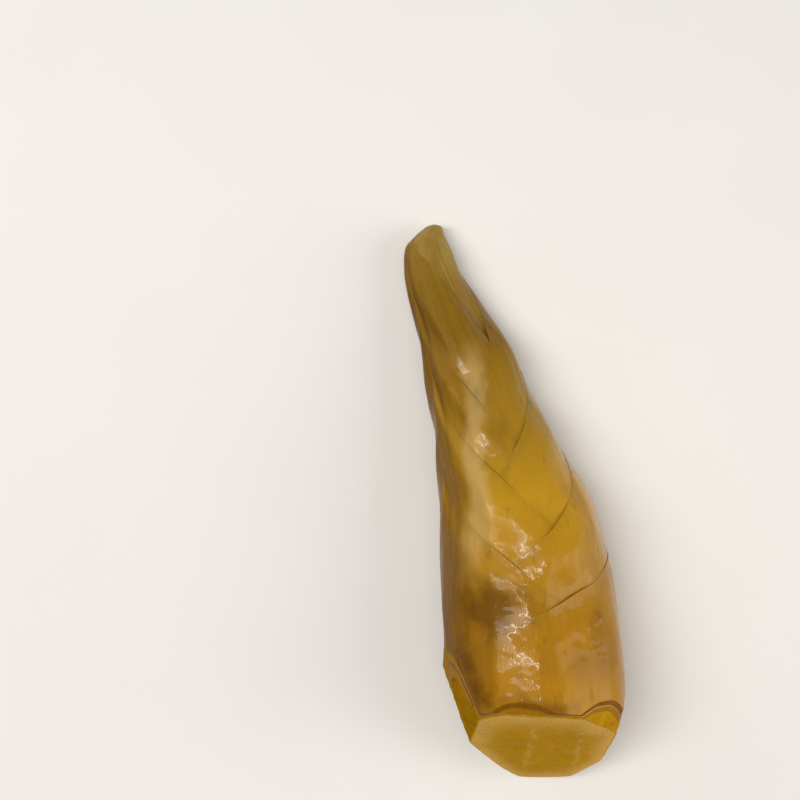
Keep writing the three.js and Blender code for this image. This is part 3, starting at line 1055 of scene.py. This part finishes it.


# %% [markdown]
# ## The husk
# One function makes the eight sheaths' materials, each with its own seeds, so that no two sheaths
# show the same pattern. The tone comes first. Streaks and veins vary it, clouds and small flecks
# brown it, and five bruises darken it near the root end, where the shoot was handled. A painted
# highlight, a pale streak, lies over these, and the margin comes last.

# %% The husk's material
BRUISES = [  # the middle of each, its reach across and along the shoot, and how brown it is
    ((-15.0, 62.0, 50.0), 16.0, 11.0, 0.75),
    ((-24.0, 44.0, 42.0), 7.0, 9.0, 0.7),
    ((-18.5, 33.0, 46.0), 7.5, 9.0, 0.8),
    ((0.0, 28.0, 52.0), 16.0, 7.5, 0.65),
    ((16.0, 44.0, 50.0), 12.0, 7.0, 0.25),
]
# the bruises' brown, and the pale colour of the painted highlight
BRUISED, PAINTED_HIGHLIGHT_TINT = seen(92, 54, 8), seen(210, 180, 120)


def husk_material(n):
    material, tree, shader = start_material(f"husk sheath {n}")
    fibre = add(tree, "ShaderNodeAttribute", attribute_name="fibre").outputs["Vector"]
    base = place_group(tree, tone, Waver=20.0, Seed=0.7 * n)["Color"]
    lines = place_group(tree, veins, Fibre=fibre, Spacing=0.85, Seed=3.1 * n)
    color = lay_over(tree, base, lines["Streak"], 0.12, seen(200, 150, 30))
    color = lay_over(tree, color, lines["Vein"], 0.07, seen(96, 60, 12))
    broad = dict(Size=15.0, Stretch=1.8, Level=0.56, Softness=0.1, Seed=1.3 * n)
    clouds = place_group(tree, mottling, **broad)["Mask"]
    color = lay_over(tree, color, clouds, 0.38, seen(122, 80, 20))
    small = dict(Size=2.6, Stretch=3.0, Level=0.66, Softness=0.05, Seed=5.0 + n)
    flecks = place_group(tree, mottling, **small)["Mask"]
    color = lay_over(tree, color, flecks, 0.3, seen(96, 60, 18))
    for middle, across, along, strength in BRUISES:
        bruise = place_group(tree, stain, Middle=middle, Across=across, Along=along)["Mask"]
        color = lay_over(tree, color, bruise, strength, BRUISED)
    # painted highlight: a pale streak along the top of the shoot
    color = lay_over(tree, color, place_group(tree, painted_highlight)["Mask"], 0.38, PAINTED_HIGHLIGHT_TINT)
    edge = place_group(tree, margin, Fibre=fibre, Width=6.0)
    color = lay_over(tree, color, edge["Band"], 0.15, seen(122, 78, 14))
    color = lay_over(tree, color, edge["Rim"], 0.14, seen(180, 138, 60))
    film = place_group(tree, wet_film, Drained=0.4, Wet=0.28, Seed=float(n))
    relief = calc(tree, "MULTIPLY_ADD", lines["Streak"], 0.2, lines["Vein"])
    finish_material(tree, shader, color, film, relief, strength=0.13, coat=0.55, gloss=0.18)
    return material


husk_looks = [husk_material(n) for n in range(1, BUD_LAYER)]
print(len(husk_looks), "husk materials")

# %% [markdown]
# ## Cut fibres
# Where the knife went through a sheath, its edge shows short cut fibres that browned in the air
# and in the pot, most of all on the outermost sheath. Strands of their own would be too fine to
# see, so the band is a strip of faces of the same mesh with a material of its own, drier than the
# husk. The fibres are the veins again, seen where they end.

# %% The cut edge of a sheath
OUTERMOST_CUT = (seen(120, 78, 10), seen(130, 86, 14))
OTHER_CUTS = (seen(150, 104, 12), seen(158, 112, 18))


def cut_edge_material(n):
    material, tree, shader = start_material(f"cut edge of sheath {n}")
    fibre = add(tree, "ShaderNodeAttribute", attribute_name="fibre").outputs["Vector"]
    lines = place_group(tree, veins, Fibre=fibre, Spacing=0.8, Seed=2.0 * n)
    darker, lighter = OUTERMOST_CUT if n == 1 else OTHER_CUTS
    color = mix(tree, lines["Streak"], darker, lighter)
    color = lay_over(tree, color, lines["Vein"], 0.2, seen(100, 62, 10))
    film = place_group(tree, wet_film, Drained=0.55, Wet=0.35, Seed=10.0 + n)
    finish_material(tree, shader, color, film, lines["Vein"], strength=0.3, coat=0.15, gloss=0.04)
    return material


cut_looks = [cut_edge_material(n) for n in range(1, BUD_LAYER)]
print(len(cut_looks), "cut edge materials")

# %% [markdown]
# ## Flesh
# The culm's flesh is ochre and firm. Thin bundles of fibre run through it along the shoot: on the
# slanted cut they are dots, and on the pared flats they are long streaks. One three-dimensional
# cell pattern, stretched far along the shoot, gives both. The rim of the cut is paler, a painted
# highlight runs along the knife's ridges, darker rings mark the nodes, and the left flank is
# darkened with painted shade, as on the husk.

# %% The flesh's material
DRAWN_OUT = 0.035  # what is left of the pattern's changes along the shoot
flesh, tree, shader = start_material("culm flesh")
fibre = add(tree, "ShaderNodeAttribute", attribute_name="fibre").outputs["Vector"]
notes_of = add(tree, "ShaderNodeSeparateXYZ", {0: fibre}).outputs
place = place_group(tree, place_on_shoot)["Place"]
parts = add(tree, "ShaderNodeSeparateXYZ", {0: place}).outputs
along = calc(tree, "MULTIPLY", parts[1], DRAWN_OUT)
drawn = add(tree, "ShaderNodeCombineXYZ", {0: parts[0], 1: along, 2: parts[2]}).outputs[0]
cells = add(tree, "ShaderNodeTexVoronoi", {"Vector": drawn, "Scale": 0.62, "Randomness": 0.9})
bundles = between(tree, cells.outputs["Distance"], 0.34, 0.12)
soft = noise(tree, drawn, 0.5, 4.0)
color = mix(tree, between(tree, soft, 0.2, 0.9), seen(174, 125, 2), seen(190, 140, 14))
# paler towards the rim of the cut, and a painted highlight along the ridges between strokes
rim = calc(tree, "MULTIPLY", between(tree, notes_of[2], END_NOTE + 0.6, END_NOTE + 1.0), 0.75)
ridge_highlight = calc(tree, "MULTIPLY", between(tree, notes_of[0], 2.4, 0.0), between(tree, soft, 0.3, 0.6))
pale_rim_and_ridge_highlight = calc(tree, "MAXIMUM", rim, calc(tree, "MULTIPLY", ridge_highlight, 0.35))
color = mix(tree, pale_rim_and_ridge_highlight, color, seen(214, 170, 88))
color = lay_over(tree, color, bundles, 0.3, seen(132, 86, 10))
broad = dict(Size=11.0, Stretch=1.2, Level=0.52, Softness=0.14, Seed=9.0)
clouds = place_group(tree, mottling, **broad)["Mask"]
color = lay_over(tree, color, clouds, 0.14, seen(140, 94, 8))
ring = between(tree, calc(tree, "MULTIPLY_ADD", soft, 3.0, notes_of[2]), 3.0, 1.2)
color = lay_over(tree, color, ring, 0.3, seen(132, 86, 14))
# painted shade: the left-facing flank is darkened towards brown
color = lay_over(tree, color, place_group(tree, shaded_flank)["Mask"], 0.5, seen(96, 60, 6))
film = place_group(tree, wet_film, Drained=0.44, Wet=0.22, Seed=4.0)
pits = calc(tree, "MULTIPLY", bundles, 0.5)
relief = calc(tree, "SUBTRACT", calc(tree, "MULTIPLY", soft, 1.4), pits)
finish_material(tree, shader, color, film, relief, strength=0.12, coat=0.14, gloss=0.0)
print(f"{flesh.name}: {len(tree.nodes)} nodes")

# %% [markdown]
# ## The bud
# The rolled tip is the same husk, but younger and paler. Its streaks and veins show more, because
# nothing lies over them, and small brown clouds replace the broad ones.

# %% The bud's material
young, tree, shader = start_material("rolled bud")
fibre = add(tree, "ShaderNodeAttribute", attribute_name="fibre").outputs["Vector"]
base = place_group(tree, tone, Waver=12.0, Seed=8.0)["Color"]
lines = place_group(tree, veins, Fibre=fibre, Spacing=0.9, Seed=40.0)
color = lay_over(tree, base, lines["Streak"], 0.35, seen(188, 160, 96))
color = lay_over(tree, color, lines["Vein"], 0.25, seen(112, 84, 34))
small = dict(Size=7.0, Stretch=2.5, Level=0.55, Softness=0.1, Seed=3.0)
clouds = place_group(tree, mottling, **small)["Mask"]
color = lay_over(tree, color, clouds, 0.35, seen(126, 92, 40))
film = place_group(tree, wet_film, Drained=0.46, Wet=0.26, Seed=20.0)
finish_material(tree, shader, color, film, lines["Vein"], strength=0.25, coat=0.55, gloss=0.16)
print(f"{young.name}: {len(tree.nodes)} nodes")

# %% [markdown]
# ## Dressing the pieces
# A sheath has two material slots: the husk, and the cut edge on the strip that the knife made. The
# helper that built the mesh has already given each face its slot, so here the materials only go in
# by order.

# %% Give each piece its materials
for n, piece in enumerate(husks, start=1):
    piece.data.materials.append(husk_looks[n - 1])
    piece.data.materials.append(cut_looks[n - 1])
bud.data.materials.append(young)
culm.data.materials.append(flesh)
for piece in husks + [bud, culm]:
    print(piece.name, [m.name for m in piece.data.materials])

# %% [markdown]
# ## The table
# The table is a plain pale sheet, and only a stage, not part of the shoot. A faint grain keeps it
# from looking like an empty background.

# %% Table
TABLE_SIDE = 3.0  # metres


def plain_table():
    mesh = bpy.data.meshes.new("table")
    half = TABLE_SIDE / 2
    corners = [(-half, -half, 0), (half, -half, 0), (half, half, 0), (-half, half, 0)]
    mesh.from_pydata(corners, [], [(0, 1, 2, 3)])
    table = bpy.data.objects.new("table", mesh)
    bpy.context.scene.collection.objects.link(table)
    paint, tree, shader = start_material("pale table")
    grain = add(tree, "ShaderNodeTexNoise", {"Scale": 60.0}).outputs[0]
    color = mix(tree, grain, seen(228, 226, 222), seen(232, 230, 227))
    tree.links.new(color, shader.inputs["Base Color"])
    shader.inputs["Roughness"].default_value = 0.7
    mesh.materials.append(paint)
    table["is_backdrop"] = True
    print("table", TABLE_SIDE, "m square")


plain_table()

# %% [markdown]
# ## Light
# Daylight from one side would wash the husk evenly, but a wet thing is known by its gleams, so
# four soft lamps do the lighting. The key hangs high on the left, broad enough to wrap the husk in
# light. A slim strip beside it, almost overhead, draws one long gleam down the shoot. A wide fill
# comes from the right and a weak rim light from the upper left. The sky is dim, because a wet
# surface mirrors it everywhere and would lose its colour under a bright one.

# %% Lamps and sky
def soft_lamp(name, place, aim, size, watts):
    lamp = bpy.data.objects.new(name, bpy.data.lights.new(name, "AREA"))
    bpy.context.scene.collection.objects.link(lamp)
    lamp.location = place
    lamp.rotation_euler = (Vector(aim) - Vector(place)).to_track_quat("-Z", "Y").to_euler()
    lamp.data.shape = "RECTANGLE"
    lamp.data.size, lamp.data.size_y = size
    lamp.data.energy = watts
    lamp.data.color = (1.0, 0.98, 0.95)
    print(name, watts, "W")


soft_lamp("key", place=(-0.42, 0.06, 1.03), aim=(0, 0, 0.03), size=(0.32, 0.9), watts=6.6)
soft_lamp("gleam", place=(-0.2, 0.06, 1.1), aim=(0, 0, 0.03), size=(0.03, 0.9), watts=3.0)
soft_lamp("fill", place=(0.95, -0.1, 0.55), aim=(0, 0, 0.02), size=(0.6, 1.2), watts=6.5)
soft_lamp("rim", place=(-0.7, 0.5, 0.35), aim=(0, 0, 0.02), size=(0.5, 0.8), watts=0.8)
sky = bpy.data.worlds.new("sky")
sky.use_nodes = True
sky.node_tree.nodes["Background"].inputs["Color"].default_value = (1.0, 0.98, 0.94, 1.0)
sky.node_tree.nodes["Background"].inputs["Strength"].default_value = 0.2
bpy.context.scene.world = sky
bpy.context.scene.view_settings.view_transform = "Standard"

# %% [markdown]
# ## The last measure
# The cell prints the sizes of the CAD part and of the finer model that dresses it. The
# finer model may not be larger than the CAD part it dresses.

# %% Compare sizes and finish
bpy.context.view_layer.update()
fine_box = [[float(v) for v in corner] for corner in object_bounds()]
for name, corners in (("CAD", cad_box), ("visual", fine_box)):
    print(name, [round((high - low) / MM, 2) for low, high in zip(*corners)], "mm")
